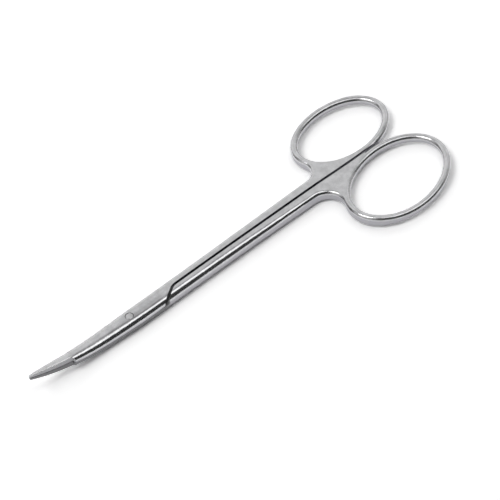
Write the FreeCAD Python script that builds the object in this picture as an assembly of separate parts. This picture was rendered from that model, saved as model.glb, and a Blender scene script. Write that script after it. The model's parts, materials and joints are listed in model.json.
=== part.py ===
import FreeCAD, Part
import math
import os

# Curved dissecting scissors lying closed on their flat underside, in millimetres.
# X runs along the length, towards the finger rings. Y runs towards the smaller ring. Z is up.
# Everything is drawn with the pivot axis at X = 0 and Y = 0. At the end the parts are moved
# together, so that the origin is the bottom centre of the closed scissors.

# Joint and shanks
joint_half_width = 2.5        # midline to the outer side of either shank, at the joint
root_half_width = 2.75        # the same where the shanks meet the rings
joint_thickness = 3.4         # height over both layers of the lap joint
root_thickness = 3.1          # height of a shank where it meets its ring
shank_gap = 0.68              # slit between the two shanks, and along the step of the lap
lap_gap = 0.1                 # running gap between the two layers of the lap and the blades
shank_round = 1.5             # rounding of the shanks' outer edges and of the joint's
joint_end_x = 20.0            # the shanks keep the joint's width and height up to here
root_x = 52.0                 # the shanks reach their root width and height here
round_fade_before = 12.0      # the rounding starts to narrow to the ring's this far before the root
round_fade_past = 2.0         # and has done so this far past it

# Step of the lap joint, where a half passes from its own side to the full width
step_x = 12.6                 # where the slanted step would meet the slit
step_angle = 33.0             # slant of the step from the length, in degrees
step_round = 2.8              # radius that leads the slit into the step

# Finger rings: the hole's length, width and tilt, how far the ring stops short of the end of
# the longer one, the wall between the hole and the slit, the bar's width, and the radius of
# the web's corner
rings_past_root = 34.0        # the rings' far end, from where the shanks meet them
rings_end_x = root_x + rings_past_root
ring_thickness = 2.1
ring_round = 0.86
web_length = 12.0             # the webs come down from the root to the ring's thickness over this
upper_ring = {"length": 23.4, "width": 15.5, "tilt": 2.9, "short_of_end": 0.33,
              "slit_wall": 1.37, "bar": 1.88, "web_round": 3.6}
lower_ring = {"length": 26.7, "width": 18.4, "tilt": -12.7, "short_of_end": 0.0,
              "slit_wall": 1.59, "bar": 1.88, "web_round": 4.2}

# Blades, which bend up out of the plane of the shanks
blade_root_x = 3.0            # the blades start to taper here, just on the ring side of the pivot
bend_start = 5.0              # distance from the pivot where the bend starts
bend_radius = 62.0
tip_x = -27.6
tip_ring_side = 0.36          # midline to the tip's side towards the smaller ring
tip_other_side = 0.66         # midline to the tip's other side, before its flat is ground
tip_height = 1.4              # over both blades
tip_round = 0.3

# How the closed pair of blades tapers from its root to the tip: the share of the way along,
# the share of the taper done by then on the smaller ring's side, on the other side and in
# height, the rounding of the edges as a share of the shanks', and how many times further
# the rounding reaches over the faces than down the sides
blade_taper = [
    (0.196, 0.0, 0.152, 0.02, 0.93, 1.2),
    (0.392, 0.052, 0.335, 0.09, 0.87, 1.4),
    (0.588, 0.206, 0.488, 0.225, 0.78, 1.5),
    (0.768, 0.412, 0.671, 0.425, 0.6, 1.6),
    (0.882, 0.608, 0.793, 0.65, 0.42, 1.6),
]

# Flat ground on the side of both tips
flat_start_x = -16.0
flat_shoulder = 0.7           # length of the short step where the flat starts
flat_start_width = 0.58       # midline to the flat just past that step
flat_tip_width = 0.1          # midline to the flat at the tip
flat_edge_round = 0.15
flat_x = flat_start_x - flat_shoulder

# Pivot screw, put in from below
screw_diameter = 2.05
pivot_clearance = 0.03        # radial, between the screw and the lower half
screw_head_diameter = 3.3
screw_head_height = 0.9       # of the countersunk cone and the rim below it
screw_head_rim = 0.25
screw_head_recess = 0.1       # the head lies this much inside the underside
screw_slot_width = 0.5
screw_slot_depth = 0.45
screw_end_break = 0.08        # fine chamfer that shows the screw's end in the upper face

# Modelling helpers
round_share = 0.46            # a rounding takes at most this share of the bar that it is on
same_place = 0.001            # points closer than this are one point
join_tolerance = 1e-5
middle = joint_thickness / 2
half_slit = shank_gap / 2
beyond = 2 * rings_end_x


def point(x, y, z=0.0):
    return FreeCAD.Vector(x, y, z)


def prism(edges, height, base_z=0.0):
    """A solid of the closed outline, from base_z up."""
    face = Part.Face(Part.Wire(edges))
    face.translate(point(0, 0, base_z))
    return face.extrude(point(0, 0, height))


def polyline(points):
    return [Part.LineSegment(a, b).toShape() for a, b in zip(points, points[1:])]


def turned(profile):
    """A solid of the profile, given as points in the XZ plane, turned about the pivot axis."""
    face = Part.Face(Part.Wire(polyline(profile + profile[:1])))
    return face.revolve(point(0, 0), point(0, 0, 1), 360)


def mirrored(shape):
    """The same shape on the other side of the midline."""
    return shape.mirror(point(0, 0), point(0, 1))


def turned_over(shape):
    """The same shape rolled half a turn about the length, at mid height of the joint."""
    rolled = shape.copy()
    rolled.rotate(point(0, 0, middle), point(1, 0, 0), 180)
    return rolled


def side_profile():
    """Height of a shank and ring over the length, as a solid wide enough to trim with."""
    ring_bottom = (root_thickness - ring_thickness) / 2
    ring_top = ring_bottom + ring_thickness
    ring_start_x = root_x + web_length
    half_web = web_length / 2
    flat_x = ring_start_x + half_web

    def flowing(points):
        curve = Part.BSplineCurve()
        curve.buildFromPoles(points, False, 3)
        return curve.toShape()

    joint_lead = (joint_end_x - blade_root_x) / 2
    top = flowing([
        point(joint_end_x, 0, joint_thickness),
        point(joint_end_x + joint_lead, 0, joint_thickness),
        point(root_x - half_web, 0, root_thickness),
        point(root_x + half_web, 0, root_thickness),
        point(ring_start_x, 0, ring_top),
        point(flat_x, 0, ring_top),
    ])
    bottom = flowing([
        point(root_x, 0, 0),
        point(root_x + half_web / 2, 0, 0),
        point(ring_start_x - half_web / 2, 0, ring_bottom),
        point(flat_x, 0, ring_bottom),
    ])
    edges = [top, bottom]
    edges += polyline([point(joint_end_x, 0, joint_thickness), point(blade_root_x, 0, joint_thickness),
                       point(blade_root_x, 0, 0), point(root_x, 0, 0)])
    edges += polyline([point(flat_x, 0, ring_bottom), point(beyond, 0, ring_bottom),
                       point(beyond, 0, ring_top), point(flat_x, 0, ring_top)])
    face = Part.Face(Part.Wire(Part.__sortEdges__(edges)))
    face.translate(point(0, -beyond, 0))
    return face.extrude(point(0, 2 * beyond, 0))


def ring_centre(ring):
    """Centre of the finger hole, placed from the ring's far end and its wall to the slit."""
    tilt = math.radians(ring["tilt"])
    reach_x = math.hypot(ring["length"] * math.cos(tilt), ring["width"] * math.sin(tilt)) / 2
    reach_y = math.hypot(ring["length"] * math.sin(tilt), ring["width"] * math.cos(tilt)) / 2
    return point(rings_end_x - ring["short_of_end"] - ring["bar"] - reach_x,
                 half_slit + ring["slit_wall"] + reach_y)


def ring_outline(ring, bar_width):
    """The ellipse of the finger hole, or of the ring's outside when given the bar's width."""
    edge = Part.Ellipse(point(0, 0), ring["length"] / 2 + bar_width, ring["width"] / 2 + bar_width).toShape()
    edge.rotate(point(0, 0), point(0, 0, 1), ring["tilt"])
    edge.translate(ring_centre(ring))
    return edge


def web_corner(blank, ring_x):
    """The upright edge where the shank's outer side runs into the ring."""
    found = []
    for edge in blank.Edges:
        low, high = edge.Vertexes[0].Point, edge.Vertexes[-1].Point
        upright = math.hypot(high.x - low.x, high.y - low.y) < same_place < abs(high.z - low.z)
        own_corner = min(abs(low.x - blade_root_x), abs(low.x - joint_end_x)) < same_place
        if upright and not own_corner and low.y > 0 and low.x < ring_x - same_place:
            found.append(edge)
    return found


def edge_rounding(x, ring):
    """Radius of the outer edges, which narrows from the shank's to the ring's."""
    on_ring = min(ring_round, round_share * min(ring["bar"], ring_thickness))
    on_shank = min(shank_round, round_share * joint_thickness)
    fade = (x - root_x + round_fade_before) / (round_fade_before + round_fade_past)
    return on_shank + (on_ring - on_shank) * min(1.0, max(0.0, fade))


def rounded(blank, ring):
    """The blank with its edges rounded, apart from those on the inner side, which are cut away."""
    drawing = FreeCAD.newDocument("rounding")
    base = drawing.addObject("Part::Feature", "blank")
    base.Shape = blank
    fillet = drawing.addObject("Part::Fillet", "fillet")
    fillet.Base = base
    radii = []
    for number, edge in enumerate(blank.Edges, 1):
        extent = edge.BoundBox
        if extent.XLength > same_place and extent.YMax > same_place - joint_half_width:
            ends = [edge.valueAt(place) for place in edge.ParameterRange]
            radii.append((number, edge_rounding(ends[0].x, ring), edge_rounding(ends[1].x, ring)))
    fillet.Edges = radii
    drawing.recompute()
    shape = fillet.Shape.copy()
    FreeCAD.closeDocument(drawing.Name)
    return shape


def inner_side_rounding():
    """Trims the inner side of the lap, which is the joint's outer side where the lap is whole."""
    trim = Part.makeBox(beyond, beyond, joint_thickness, point(blade_root_x, -joint_half_width))
    corners = [edge for edge in trim.Edges
               if edge.BoundBox.XLength > same_place and edge.BoundBox.YMax < same_place - joint_half_width]
    return trim.makeFillet(shank_round, corners)


def handle(ring):
    """One shank with its web and finger ring, on the positive Y side of the midline."""
    inner_y = -joint_half_width
    ring_x = ring_centre(ring).x
    widening = (root_half_width - joint_half_width) / (root_x - joint_end_x)
    shank = prism(polyline([
        point(blade_root_x, inner_y), point(ring_x, inner_y),
        point(ring_x, root_half_width + widening * (ring_x - root_x)),
        point(joint_end_x, joint_half_width), point(blade_root_x, joint_half_width),
        point(blade_root_x, inner_y),
    ]), joint_thickness)
    blank = shank.fuse(prism([ring_outline(ring, ring["bar"])], joint_thickness)).removeSplitter()
    blank = blank.makeFillet(ring["web_round"], web_corner(blank, ring_x))
    blank = blank.common(side_profile()).cut(prism([ring_outline(ring, 0.0)], joint_thickness))
    return rounded(blank, ring).common(inner_side_rounding())


def meeting_face_height(distance):
    """Height of the face where the blades meet, at a distance from the pivot axis."""
    past_bend = max(0.0, distance - bend_start)
    return middle + bend_radius - math.sqrt(bend_radius**2 - past_bend**2)


def below(level_change):
    """All space under the face where the blades meet, with that face moved up or down.

    The face is turned about the pivot axis, so that blades that bend up still slide over each other.
    """
    reach = -tip_x + joint_half_width
    half_reach = (reach + bend_start) / 2
    bend = Part.Arc(*[point(x, 0, meeting_face_height(x) + level_change)
                      for x in (bend_start, half_reach, reach)]).toShape()
    start_level = middle + level_change
    end_level = meeting_face_height(reach) + level_change
    edges = polyline([point(0, 0, -beyond), point(0, 0, start_level), point(bend_start, 0, start_level)])
    edges += [bend]
    edges += polyline([point(reach, 0, end_level), point(reach, 0, -beyond), point(0, 0, -beyond)])
    return Part.Face(Part.Wire(edges)).revolve(point(0, 0), point(0, 0, 1), 360)


def blade_section(x, ring_side, other_side, height, rounding, reach):
    """Outline across both blades together, a rectangle whose corners are quarters of ellipses."""
    mid_z = meeting_face_height(max(0.0, -x))
    low, high = mid_z - height / 2, mid_z + height / 2
    edges = []
    for side, width in ((1, ring_side), (-1, other_side)):
        for z_from, inwards in ((low, 1), (high, -1)):
            corner = Part.BezierCurve()
            corner.setPoles([point(x, side * (width - reach), z_from), point(x, side * width, z_from),
                             point(x, side * width, z_from + inwards * rounding)])
            corner.setWeight(2, math.sqrt(0.5))
            edges.append(corner.toShape())
        edges += polyline([point(x, side * width, low + rounding), point(x, side * width, high - rounding)])
    for z in (low, high):
        edges += polyline([point(x, reach - other_side, z), point(x, ring_side - reach, z)])
    return Part.Wire(Part.__sortEdges__(edges))


def ground_flat():
    """What is ground off the side of both tips, away from the smaller ring."""
    past_tip = tip_x - joint_half_width
    slope = (flat_start_width - flat_tip_width) / (flat_x - tip_x)
    outside_y = -2 * joint_half_width
    outline = [point(flat_start_x, outside_y), point(flat_start_x, -joint_half_width),
               point(flat_x, -flat_start_width),
               point(past_tip, -flat_tip_width - slope * (past_tip - tip_x)),
               point(past_tip, outside_y), point(flat_start_x, outside_y)]
    return prism(polyline(outline), beyond)


def blades():
    """Both blades in one, from just past the pivot to the blunt tip."""
    def between(start, end, share):
        return start + (end - start) * share

    tip_rounding = tip_round / shank_round
    rows = [(0.0, 0.0, 0.0, 0.0, 1.0, 1.0)] + blade_taper + [(1.0, 1.0, 1.0, 1.0, tip_rounding, 1.0)]
    sections = []
    for along, ring_share, other_share, height_share, rounding_share, stretch in rows:
        ring_side = between(joint_half_width, tip_ring_side, ring_share)
        other_side = between(joint_half_width, tip_other_side, other_share)
        height = between(joint_thickness, tip_height, height_share)
        rounding = min(rounding_share * shank_round, round_share * height)
        reach = min(stretch * rounding, 2 * round_share * min(ring_side, other_side))
        sections.append(blade_section(between(blade_root_x, tip_x, along),
                                      ring_side, other_side, height, rounding, reach))
    pair = Part.makeLoft(sections, True, False).cut(ground_flat()).Solids[0]
    long_edges = []
    for edge in pair.Edges:
        extent = edge.BoundBox
        on_flat = extent.XMax < flat_x + same_place and extent.YMax < same_place - flat_tip_width
        if on_flat and extent.XLength > same_place:
            long_edges.append(edge)
    return pair.makeFillet(flat_edge_round, long_edges)


def step_edges(distance):
    """The edge of the lap in plan, from the slit out over the negative Y side.

    The distance moves it parallel to itself, towards the shank that it faces.
    """
    slant = math.radians(step_angle)
    lead = math.tan(slant / 2)
    radius = step_round - distance
    slit_y = half_slit - distance
    corner = point(step_x + distance * lead, slit_y)
    heading = point(-math.cos(slant), -math.sin(slant))
    start = corner + point(radius * lead, 0)
    end = corner + heading * (radius * lead)
    half_way = point(start.x - radius * math.sin(slant / 2), slit_y - radius * (1 - math.cos(slant / 2)))
    outside = corner + heading * (2 * joint_half_width / math.sin(slant))
    edges = [Part.LineSegment(point(beyond, slit_y), start).toShape()]
    edges += [Part.Arc(start, half_way, end).toShape()]
    edges += [Part.LineSegment(end, outside).toShape()]
    return edges, outside, slit_y


def lap_cuts():
    """What the half with its ring at positive Y leaves free for the other half.

    First the other half's shank, and then the lower layer of the lap.
    """
    edges, outside, slit_y = step_edges(0.0)
    edges += polyline([outside, point(outside.x, -beyond), point(beyond, -beyond), point(beyond, slit_y)])
    other_shank = prism(edges, 2 * beyond, -beyond)
    edges, outside, slit_y = step_edges(shank_gap)
    edges += polyline([outside, point(outside.x, -beyond), point(-beyond, -beyond),
                       point(-beyond, beyond), point(beyond, beyond), point(beyond, slit_y)])
    lower_layer = mirrored(prism(edges, beyond, middle + lap_gap / 2 - beyond))
    return other_shank, lower_layer


def pivot_screw():
    """Countersunk slotted screw from below, ground flush with the upper half."""
    radius = screw_diameter / 2
    head_radius = screw_head_diameter / 2
    base = screw_head_recess
    screw = turned([
        point(0, 0, base), point(head_radius, 0, base), point(head_radius, 0, base + screw_head_rim),
        point(radius, 0, base + screw_head_height), point(radius, 0, joint_thickness - screw_end_break),
        point(radius - screw_end_break, 0, joint_thickness), point(0, 0, joint_thickness),
    ])
    slot = Part.makeBox(screw_slot_width, 2 * beyond, base + screw_slot_depth,
                        point(-screw_slot_width / 2, -beyond))
    return screw.cut(slot)


def screw_room():
    """The bore and countersink in the lower half, larger than the screw by the clearance."""
    radius = screw_diameter / 2 + pivot_clearance
    head_radius = screw_head_diameter / 2 + pivot_clearance
    cone_base = screw_head_recess + screw_head_rim
    cone_top = screw_head_recess + screw_head_height
    return turned([
        point(0, 0, -beyond), point(head_radius, 0, -beyond), point(head_radius, 0, cone_base),
        point(radius, 0, cone_top), point(radius, 0, beyond), point(0, 0, beyond),
    ])


def upper_half(pair):
    """The half with the smaller ring, whose blade and lap are the top layer."""
    other_shank, lower_layer = lap_cuts()
    half = handle(upper_ring).cut(other_shank).cut(lower_layer)
    half = half.fuse(pair.cut(below(lap_gap / 2)), join_tolerance).removeSplitter()
    return half.cut(Part.makeCylinder(screw_diameter / 2, beyond))


def lower_half(pair):
    """The half with the larger ring, whose blade and lap are the bottom layer."""
    other_shank, upper_layer = [turned_over(cut) for cut in lap_cuts()]
    half = mirrored(handle(lower_ring)).cut(other_shank).cut(upper_layer)
    half = half.fuse(pair.common(below(-lap_gap / 2)), join_tolerance).removeSplitter()
    return half.cut(screw_room())


pair = blades()
parts = {
    "upper_half": upper_half(pair),
    "lower_half": lower_half(pair),
    "pivot_screw": pivot_screw(),
}
whole = Part.makeCompound(list(parts.values())).optimalBoundingBox(False)
to_origin = point(-whole.Center.x, -whole.Center.y, -whole.ZMin)

os.makedirs("parts", exist_ok=True)
for node, shape in parts.items():
    shape.translate(to_origin)
    print(node, "valid", shape.isValid(), "solids", len(shape.Solids), "volume", round(shape.Volume, 2))
    shape.exportStep("parts/" + node + ".step")
print("overall size", [round(length, 2) for length in (whole.XLength, whole.YLength, whole.ZLength)])
print("pivot axis at X and Y", round(to_origin.x, 4), round(to_origin.y, 4))
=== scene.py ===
import json
import math

import bpy
from mathutils import Matrix, Vector

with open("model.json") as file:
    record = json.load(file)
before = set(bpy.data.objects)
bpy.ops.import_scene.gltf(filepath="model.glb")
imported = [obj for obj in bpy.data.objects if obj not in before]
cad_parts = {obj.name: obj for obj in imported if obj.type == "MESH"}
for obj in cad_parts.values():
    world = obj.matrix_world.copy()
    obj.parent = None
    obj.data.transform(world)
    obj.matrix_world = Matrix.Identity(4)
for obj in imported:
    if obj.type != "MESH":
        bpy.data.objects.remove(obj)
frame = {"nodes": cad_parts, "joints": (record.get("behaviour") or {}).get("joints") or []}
bpy.context.view_layer.update()
print("frame loaded")

mm = 0.001  # everything below is in metres
pivot = Vector(frame["joints"][0]["pos_m"])  # X and Y in the dictionaries are measured from here


# Node helpers

def node(tree, kind, **settings):
    made = tree.nodes.new(kind)
    for name, value in settings.items():
        setattr(made, name, value)
    return made


def plug(tree, value, socket):
    # Links an output, or sets a plain number, vector or colour
    if isinstance(value, bpy.types.NodeSocket):
        tree.links.new(value, socket)
    else:
        socket.default_value = value


def calc(tree, operation, first, second=0.0):
    made = node(tree, "ShaderNodeMath", operation=operation)
    plug(tree, first, made.inputs[0])
    plug(tree, second, made.inputs[1])
    return made.outputs[0]


def vectorCalc(tree, operation, first, second, result="Vector"):
    made = node(tree, "ShaderNodeVectorMath", operation=operation)
    plug(tree, first, made.inputs[0])
    plug(tree, second, made.inputs["Scale"] if operation == "SCALE" else made.inputs[1])
    return made.outputs[result]


def ramp(tree, value, start, full):
    # Rises smoothly from 0 at start to 1 at full, whichever is larger
    made = node(tree, "ShaderNodeMapRange", clamp=True, interpolation_type="SMOOTHSTEP")
    plug(tree, value, made.inputs["Value"])
    plug(tree, start, made.inputs["From Min"])
    plug(tree, full, made.inputs["From Max"])
    return made.outputs["Result"]


def both(tree, first, second):
    return calc(tree, "MULTIPLY", first, second)


def mix(tree, kind, factor, first, second, blendType="MIX"):
    made = node(tree, "ShaderNodeMix", data_type=kind, blend_type=blendType)
    plug(tree, factor, made.inputs["Factor"])
    plug(tree, first, made.inputs["A"])
    plug(tree, second, made.inputs["B"])
    return made.outputs["Result"]


def noise(tree, place, scale, detail=3.0, roughness=0.6, stretch=(1.0, 1.0, 1.0)):
    stretched = node(tree, "ShaderNodeMapping")
    stretched.inputs["Scale"].default_value = stretch
    plug(tree, place.outputs["Object"], stretched.inputs["Vector"])
    made = node(tree, "ShaderNodeTexNoise")
    for label, value in (("Scale", scale), ("Detail", detail), ("Roughness", roughness)):
        made.inputs[label].default_value = value
    plug(tree, stretched.outputs["Vector"], made.inputs["Vector"])
    return made.outputs["Fac"]


def axes(tree, vector):
    split = node(tree, "ShaderNodeSeparateXYZ")
    plug(tree, vector, split.inputs[0])
    return split.outputs["X"], split.outputs["Y"], split.outputs["Z"]


def fromPivot(tree, place):
    return vectorCalc(tree, "SUBTRACT", place.outputs["Object"], (pivot.x, pivot.y, 0.0))


def pivotDistance(tree, place):
    # As seen from above
    level = vectorCalc(tree, "MULTIPLY", fromPivot(tree, place), (1.0, 1.0, 0.0))
    return vectorCalc(tree, "LENGTH", level, (0.0, 0.0, 0.0), "Value")


def newGroup(name, inputs, outputs):
    group = bpy.data.node_groups.new(name, "ShaderNodeTree")
    for label, kind, default in inputs:
        socket = group.interface.new_socket(name=label, in_out="INPUT", socket_type=kind)
        socket.default_value = default
    for label, kind in outputs:
        group.interface.new_socket(name=label, in_out="OUTPUT", socket_type=kind)
    return group, node(group, "NodeGroupInput"), node(group, "NodeGroupOutput")


def useGroup(tree, group, values):
    placed = node(tree, "ShaderNodeGroup", node_tree=group)
    for label, value in values.items():
        plug(tree, value, placed.inputs[label])
    return placed.outputs


# Steel of all three pieces

steel = {
    "color": (0.61, 0.61, 0.62, 1.0),
    "shadedSideColor": (0.41, 0.405, 0.43, 1.0),  # painted shade on sides that face outwards or down
    "faceRoughness": 0.36,      # satin top and bottom faces
    "sideRoughness": 0.18,      # buffed sides and rounded edges
    "ringRoughness": 0.27,      # the rings are less buffed than the shanks
    "grain": 1.0,
    "bumpStrength": 0.12,
    "bumpDepth": 0.02 * mm,
    "flatTurn": (0.93, 0.995),  # how level a face is where it starts and ends to become a flat
    "sideTurn": (0.45, 0.0),
    "undersideTurn": (-0.95, -0.6),
    "ringX": (52.0 * mm, 60.0 * mm),
    "mottleScale": 620.0,
    "grainScale": 5200.0,
    "mottleShare": 0.65,
    "mottleRange": (0.35, 0.65),
    "darkest": 0.88,            # of the colour, in the mottling
    "lightest": 1.12,
    "roughnessSpread": 0.08,
}


def satinGroup():
    # Splits the surface into satin flats and buffed roundings, with fine grain, soft mottling and
    # painted shade on sides that face outwards or down
    group, given, out = newGroup("satinFinish", [
        ("Color", "NodeSocketColor", steel["color"]),
        ("Shaded Side Color", "NodeSocketColor", steel["shadedSideColor"]),
        ("Face Roughness", "NodeSocketFloat", steel["faceRoughness"]),
        ("Side Roughness", "NodeSocketFloat", steel["sideRoughness"]),
        ("Ring Roughness", "NodeSocketFloat", steel["ringRoughness"]),
        ("Grain", "NodeSocketFloat", steel["grain"]),
    ], [("Color", "NodeSocketColor"), ("Shaded Side", "NodeSocketFloat"),
        ("Roughness", "NodeSocketFloat"), ("Height", "NodeSocketFloat")])
    place = node(group, "ShaderNodeTexCoord")
    turnZ = axes(group, place.outputs["Normal"])[2]
    flat = ramp(group, calc(group, "ABSOLUTE", turnZ), *steel["flatTurn"])
    shadedSides = both(group, ramp(group, turnZ, *steel["sideTurn"]),
                 ramp(group, turnZ, *steel["undersideTurn"]))
    plug(group, shadedSides, out.inputs["Shaded Side"])

    coarse = noise(group, place, steel["mottleScale"])
    fine = noise(group, place, steel["grainScale"])
    mottle = calc(group, "ADD", both(group, coarse, steel["mottleShare"]),
                  both(group, fine, 1.0 - steel["mottleShare"]))
    lightness = both(group, ramp(group, mottle, *steel["mottleRange"]),
                     steel["lightest"] - steel["darkest"])
    mottled = vectorCalc(group, "SCALE", given.outputs["Color"],
                         calc(group, "ADD", lightness, steel["darkest"]))
    # Painted shade: sides that face outwards or down take the darker colour
    plug(group, mix(group, "RGBA", shadedSides, mottled, given.outputs["Shaded Side Color"]),
         out.inputs["Color"])

    onRing = ramp(group, axes(group, fromPivot(group, place))[0], *steel["ringX"])
    sides = mix(group, "FLOAT", onRing, given.outputs["Side Roughness"],
                given.outputs["Ring Roughness"])
    roughness = mix(group, "FLOAT", flat, sides, given.outputs["Face Roughness"])
    spread = both(group, calc(group, "SUBTRACT", coarse, 0.5),
                  both(group, flat, steel["roughnessSpread"]))
    plug(group, calc(group, "ADD", roughness, spread), out.inputs["Roughness"])
    plug(group, both(group, both(group, fine, flat), given.outputs["Grain"]),
         out.inputs["Height"])
    return group


satinFinish = satinGroup()


# Flat ground on the side of both tips

tipFlat = {
    "startX": -16.7 * mm,
    "startBlend": 0.3 * mm,
    "faceTurn": (-0.985, -0.995),  # the flat's own face
    "edgeTurn": ((-0.20, -0.35), (-0.97, -0.90)),  # the edge above it, where a highlight is painted
    "roughness": 0.42,
    "streakScale": 3000.0,
    "streakStretch": (0.35, 1.0, 1.6),
    "darkest": 0.8,
    "lightest": 1.15,
}


def tipGroup():
    # Finds the flat and the edge above it, where a highlight is painted, and streaks the flat's
    # colour
    group, given, out = newGroup("groundTip", [
        ("Color", "NodeSocketColor", steel["color"]),
    ], [("Ground", "NodeSocketFloat"), ("Edge Highlight", "NodeSocketFloat"), ("Color", "NodeSocketColor")])
    place = node(group, "ShaderNodeTexCoord")
    turnY = axes(group, place.outputs["Normal"])[1]
    atTip = ramp(group, axes(group, fromPivot(group, place))[0],
                 tipFlat["startX"] + tipFlat["startBlend"], tipFlat["startX"])
    plug(group, both(group, ramp(group, turnY, *tipFlat["faceTurn"]), atTip), out.inputs["Ground"])
    highlightedEdge = both(group, *(ramp(group, turnY, *turn) for turn in tipFlat["edgeTurn"]))
    plug(group, both(group, highlightedEdge, atTip), out.inputs["Edge Highlight"])
    streak = noise(group, place, tipFlat["streakScale"], 2.0, stretch=tipFlat["streakStretch"])
    lightness = both(group, streak, tipFlat["lightest"] - tipFlat["darkest"])
    plug(group, vectorCalc(group, "SCALE", given.outputs["Color"],
                           calc(group, "ADD", lightness, tipFlat["darkest"])), out.inputs["Color"])
    return group


# Painted shade between the halves

shadedGaps = {
    # colour of the painted shade in the step and the seam
    "color": (0.03, 0.03, 0.03, 1.0),
    "stepX": 10.7 * mm,         # middle of the lap's step
    "stepReach": 4.0 * mm,
    "stepAngle": math.radians(33.0),
    "stepTurn": (0.97, 0.985),
    "seamHeight": 1.7 * mm,     # where the halves meet, level up to the bend and then curving up
    "seamHalfWidth": 0.12 * mm,
    "seamTurn": (0.75, 0.6),    # keeps the seam off the meeting faces themselves
    "seamEndX": 8.8 * mm,
    "bendStart": 5.0 * mm,
    "bendRadius": 62.0 * mm,
}


def gapShadeGroup():
    # Painted shade on the walls of the lap's step and along the fine seam on the sides
    group, given, out = newGroup("paintedGapShade", [
        ("Seam Half Width", "NodeSocketFloat", shadedGaps["seamHalfWidth"]),
    ], [("Gap Shade", "NodeSocketFloat")])
    place = node(group, "ShaderNodeTexCoord")
    x, _, z = axes(group, fromPivot(group, place))
    angle = shadedGaps["stepAngle"]
    facing = vectorCalc(group, "DOT_PRODUCT", place.outputs["Normal"],
                        (math.sin(angle), -math.cos(angle), 0.0), "Value")
    wall = ramp(group, calc(group, "ABSOLUTE", facing), *shadedGaps["stepTurn"])
    away = calc(group, "ABSOLUTE", calc(group, "SUBTRACT", x, shadedGaps["stepX"]))
    wallHere = both(group, wall, ramp(group, away, shadedGaps["stepReach"], 0.9 * shadedGaps["stepReach"]))

    pastBend = calc(group, "MAXIMUM", calc(group, "SUBTRACT", pivotDistance(group, place),
                                           shadedGaps["bendStart"]), 0.0)
    drop = calc(group, "SQRT", calc(group, "SUBTRACT", shadedGaps["bendRadius"] ** 2,
                                    calc(group, "POWER", pastBend, 2.0)))
    level = calc(group, "SUBTRACT", shadedGaps["seamHeight"] + shadedGaps["bendRadius"], drop)
    offSeam = calc(group, "ABSOLUTE", calc(group, "SUBTRACT", z, level))
    halfWidth = given.outputs["Seam Half Width"]
    line = ramp(group, offSeam, halfWidth, both(group, halfWidth, 0.4))
    onSide = ramp(group, calc(group, "ABSOLUTE", axes(group, place.outputs["Normal"])[2]),
                  *shadedGaps["seamTurn"])
    seam = both(group, both(group, onSide, line),
                ramp(group, x, shadedGaps["seamEndX"] + mm, shadedGaps["seamEndX"]))
    plug(group, calc(group, "MAXIMUM", wallHere, seam), out.inputs["Gap Shade"])
    return group


groundTip = tipGroup()
paintedGapShade = gapShadeGroup()


def paintGapShade(tree, color):
    gap = useGroup(tree, paintedGapShade, {"Seam Half Width": shadedGaps["seamHalfWidth"]})["Gap Shade"]
    # Painted shade on the step's walls and along the seam
    return mix(tree, "RGBA", gap, color, shadedGaps["color"])


# Upper half

upperHalf = {
    "groundColor": (0.36, 0.36, 0.375, 1.0),
    # Painted highlight along the edge above the tip's flat
    "groundEdgeHighlightColor": (0.95, 0.95, 0.95, 1.0),
    "frontShadeColor": (0.74, 0.74, 0.74, 1.0),  # painted shade: multiplies the joint's face along its front edge
    "frontY": (0.5 * mm, -0.6 * mm),
    "frontSlope": 0.07,                     # the strip of painted shade narrows towards the tip
    "frontEndX": 8.8 * mm,
    "frontTurn": (0.93, 0.98),
}


def upperDetails(tree, finish):
    place = node(tree, "ShaderNodeTexCoord")
    x, y, _ = axes(tree, fromPivot(tree, place))
    narrowing = both(tree, calc(tree, "MINIMUM", x, 0.0), upperHalf["frontSlope"])
    strip = both(tree, ramp(tree, calc(tree, "SUBTRACT", y, narrowing), *upperHalf["frontY"]),
                 ramp(tree, axes(tree, place.outputs["Normal"])[2], *upperHalf["frontTurn"]))
    strip = both(tree, strip, ramp(tree, x, upperHalf["frontEndX"] + mm,
                                   upperHalf["frontEndX"] - mm))
    # Painted shade along the front edge of the joint's face
    color = mix(tree, "RGBA", strip, finish["Color"], upperHalf["frontShadeColor"], "MULTIPLY")
    tip = useGroup(tree, groundTip, {"Color": upperHalf["groundColor"]})
    color = mix(tree, "RGBA", tip["Ground"], color, tip["Color"])
    # Painted highlight along the edge above the flat
    color = mix(tree, "RGBA", tip["Edge Highlight"], color, upperHalf["groundEdgeHighlightColor"])
    roughness = mix(tree, "FLOAT", tip["Ground"], finish["Roughness"], tipFlat["roughness"])
    return paintGapShade(tree, color), roughness


# Lower half

lowerHalf = {
    # darker than the upper half's flat, as painted shade
    "groundColor": (0.19, 0.19, 0.195, 1.0),
    # painted shade on the lower blade's sides
    "bladeSideShadeColor": (0.24, 0.24, 0.25, 1.0),
    "bladeSideEndX": 9.0 * mm,
}


def lowerDetails(tree, finish):
    place = node(tree, "ShaderNodeTexCoord")
    x = axes(tree, fromPivot(tree, place))[0]
    # Painted shade: the lower blade's sides that face outwards or down take a darker colour
    shadedBladeSide = both(tree, finish["Shaded Side"], ramp(tree, x, lowerHalf["bladeSideEndX"] + mm,
                                            lowerHalf["bladeSideEndX"]))
    color = mix(tree, "RGBA", shadedBladeSide, finish["Color"], lowerHalf["bladeSideShadeColor"])
    tip = useGroup(tree, groundTip, {"Color": lowerHalf["groundColor"]})
    color = mix(tree, "RGBA", tip["Ground"], color, tip["Color"])
    roughness = mix(tree, "FLOAT", tip["Ground"], finish["Roughness"], tipFlat["roughness"])
    return paintGapShade(tree, color), roughness


# Pivot screw

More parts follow.
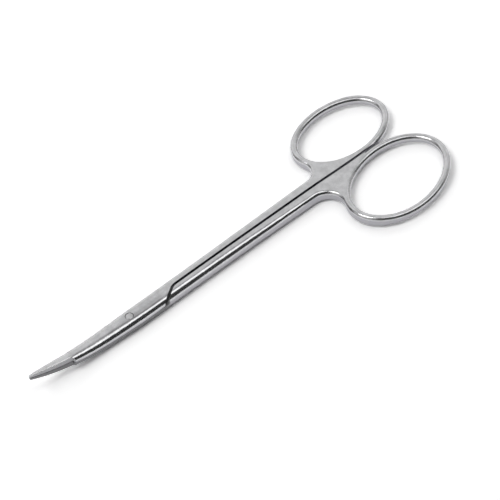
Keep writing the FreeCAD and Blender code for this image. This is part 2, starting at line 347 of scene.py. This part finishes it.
pivotScrew = {
    "markColor": (0.16, 0.16, 0.16, 1.0),
    "markRadius": (0.72 * mm, 0.92 * mm),  # broken marks near the rim of its end
    "markScale": 900.0,
    "markRange": (0.46, 0.54),
    "evenShade": 0.12,                         # painted shade: the whole end is a little darker than the face
}


def screwDetails(tree, finish):
    place = node(tree, "ShaderNodeTexCoord")
    rim = ramp(tree, pivotDistance(tree, place), *pivotScrew["markRadius"])
    broken = ramp(tree, noise(tree, place, pivotScrew["markScale"], 1.0, 0.5),
                  *pivotScrew["markRange"])
    # The whole end takes a little of the mark colour as painted shade
    marks = calc(tree, "MAXIMUM", both(tree, rim, broken), pivotScrew["evenShade"])
    return mix(tree, "RGBA", marks, finish["Color"], pivotScrew["markColor"]), finish["Roughness"]


def steelMaterial(name, addDetails):
    material = bpy.data.materials.new(name + "Steel")
    material.use_nodes = True
    tree = material.node_tree
    shader = tree.nodes["Principled BSDF"]
    shader.inputs["Metallic"].default_value = 1.0
    finish = useGroup(tree, satinFinish, {
        "Color": steel["color"],
        "Shaded Side Color": steel["shadedSideColor"],
        "Face Roughness": steel["faceRoughness"],
        "Side Roughness": steel["sideRoughness"],
        "Ring Roughness": steel["ringRoughness"],
        "Grain": steel["grain"],
    })
    color, roughness = addDetails(tree, finish)
    bump = node(tree, "ShaderNodeBump")
    bump.inputs["Strength"].default_value = steel["bumpStrength"]
    bump.inputs["Distance"].default_value = steel["bumpDepth"]
    plug(tree, finish["Height"], bump.inputs["Height"])
    plug(tree, color, shader.inputs["Base Color"])
    plug(tree, roughness, shader.inputs["Roughness"])
    plug(tree, bump.outputs["Normal"], shader.inputs["Normal"])
    return material


for name, addDetails in (("upper_half", upperDetails), ("lower_half", lowerDetails),
                         ("pivot_screw", screwDetails)):
    frame["nodes"][name].material_slots[0].material = steelMaterial(name, addDetails)
print("steel on")


# Floor, light and world

studio = {
    "floorSize": 6.0,
    "floorSeen": 1.40,     # colour of the floor where the camera or a reflection sees it
    "floorLit": 0.75,
    "world": 0.05,
    "lamps": {             # place, direction of the width, width, height, level
        "backCard": ((0.36, 0.90, 0.58), (1, 0, 0), 2.1, 1.3, 0.84),
        "key": ((-0.45, 0.15, 0.95), (1, 0, 0), 0.55, 0.50, 4.6),
        "leftCard": ((-0.90, 0.10, 0.45), (0, 1, 0), 1.3, 0.85, 0.50),
        "rightCard": ((0.95, 0.05, 0.34), (0, 1, 0), 0.75, 0.65, 0.50),
        "strip": ((0.26, -0.15, 0.75), (1, 0, 0), 0.75, 0.40, 1.6),
    },
}


def grey(value):
    return (value, value, value, 1.0)


def buildFloor():
    bpy.ops.mesh.primitive_plane_add(size=studio["floorSize"])
    floor = bpy.context.object
    floor.name = "floor"
    material = bpy.data.materials.new("whiteFloor")
    material.use_nodes = True
    tree = material.node_tree
    tree.nodes.remove(tree.nodes["Principled BSDF"])
    shader = node(tree, "ShaderNodeBsdfDiffuse")
    ray = node(tree, "ShaderNodeLightPath").outputs
    mirrored = calc(tree, "MAXIMUM", ray["Is Glossy Ray"], ray["Is Transmission Ray"])
    shown = calc(tree, "MAXIMUM", ray["Is Camera Ray"], mirrored)
    color = mix(tree, "RGBA", shown, grey(studio["floorLit"]), grey(studio["floorSeen"]))
    plug(tree, color, shader.inputs["Color"])
    plug(tree, shader.outputs[0], tree.nodes["Material Output"].inputs["Surface"])
    floor.data.materials.append(material)


def softbox(name, place, along, width, height, level):
    # Faces the object; level is the brightness of its face, where 1 is white
    outwards = Vector(place).normalized()
    widthWay = Vector(along).cross(outwards).cross(outwards).normalized() * -1
    light = bpy.data.lights.new(name, "AREA")
    light.shape = "RECTANGLE"
    light.size, light.size_y = width, height
    light.energy = level * math.pi * width * height
    made = bpy.data.objects.new(name, light)
    bpy.context.scene.collection.objects.link(made)
    turn = Matrix((widthWay, outwards.cross(widthWay), outwards)).transposed().to_4x4()
    made.matrix_world = Matrix.Translation(place) @ turn


def buildWorld():
    world = bpy.data.worlds.new("studio")
    bpy.context.scene.world = world
    world.use_nodes = True
    back = world.node_tree.nodes["Background"]
    back.inputs["Color"].default_value = grey(1.0)
    back.inputs["Strength"].default_value = studio["world"]


buildFloor()
for name, settings in studio["lamps"].items():
    softbox(name, *settings)
buildWorld()
print("studio built")


# Camera

shot = {
    "azimuth": -34.325,    # degrees
    "elevation": 46.521,
    "roll": -9.325,
    "distance": 565.53 * mm,
    "aim": (4.268 * mm, -0.269 * mm, 0.0),
    "lens": 178.967,
    "sensor": 36.0,
    "clip": (0.01, 20.0),
}


def buildCamera():
    azimuth, elevation, roll = (math.radians(shot[k]) for k in ("azimuth", "elevation", "roll"))
    back = Vector((math.sin(azimuth) * math.cos(elevation),
                   -math.cos(azimuth) * math.cos(elevation), math.sin(elevation)))
    right = Vector((math.cos(azimuth), math.sin(azimuth), 0.0))
    up = back.cross(right)
    across = right * math.cos(roll) + up * math.sin(roll)
    upwards = up * math.cos(roll) - right * math.sin(roll)
    data = bpy.data.cameras.new("camera")
    data.lens, data.sensor_width, data.sensor_fit = shot["lens"], shot["sensor"], "HORIZONTAL"
    data.clip_start, data.clip_end = shot["clip"]
    camera = bpy.data.objects.new("camera", data)
    bpy.context.scene.collection.objects.link(camera)
    turn = Matrix((across, upwards, back)).transposed().to_4x4()
    camera.matrix_world = Matrix.Translation(Vector(shot["aim"]) + back * shot["distance"]) @ turn
    bpy.context.scene.camera = camera


buildCamera()
bpy.context.scene.view_settings.view_transform = "Standard"
print("camera placed")

bpy.context.view_layer.update()
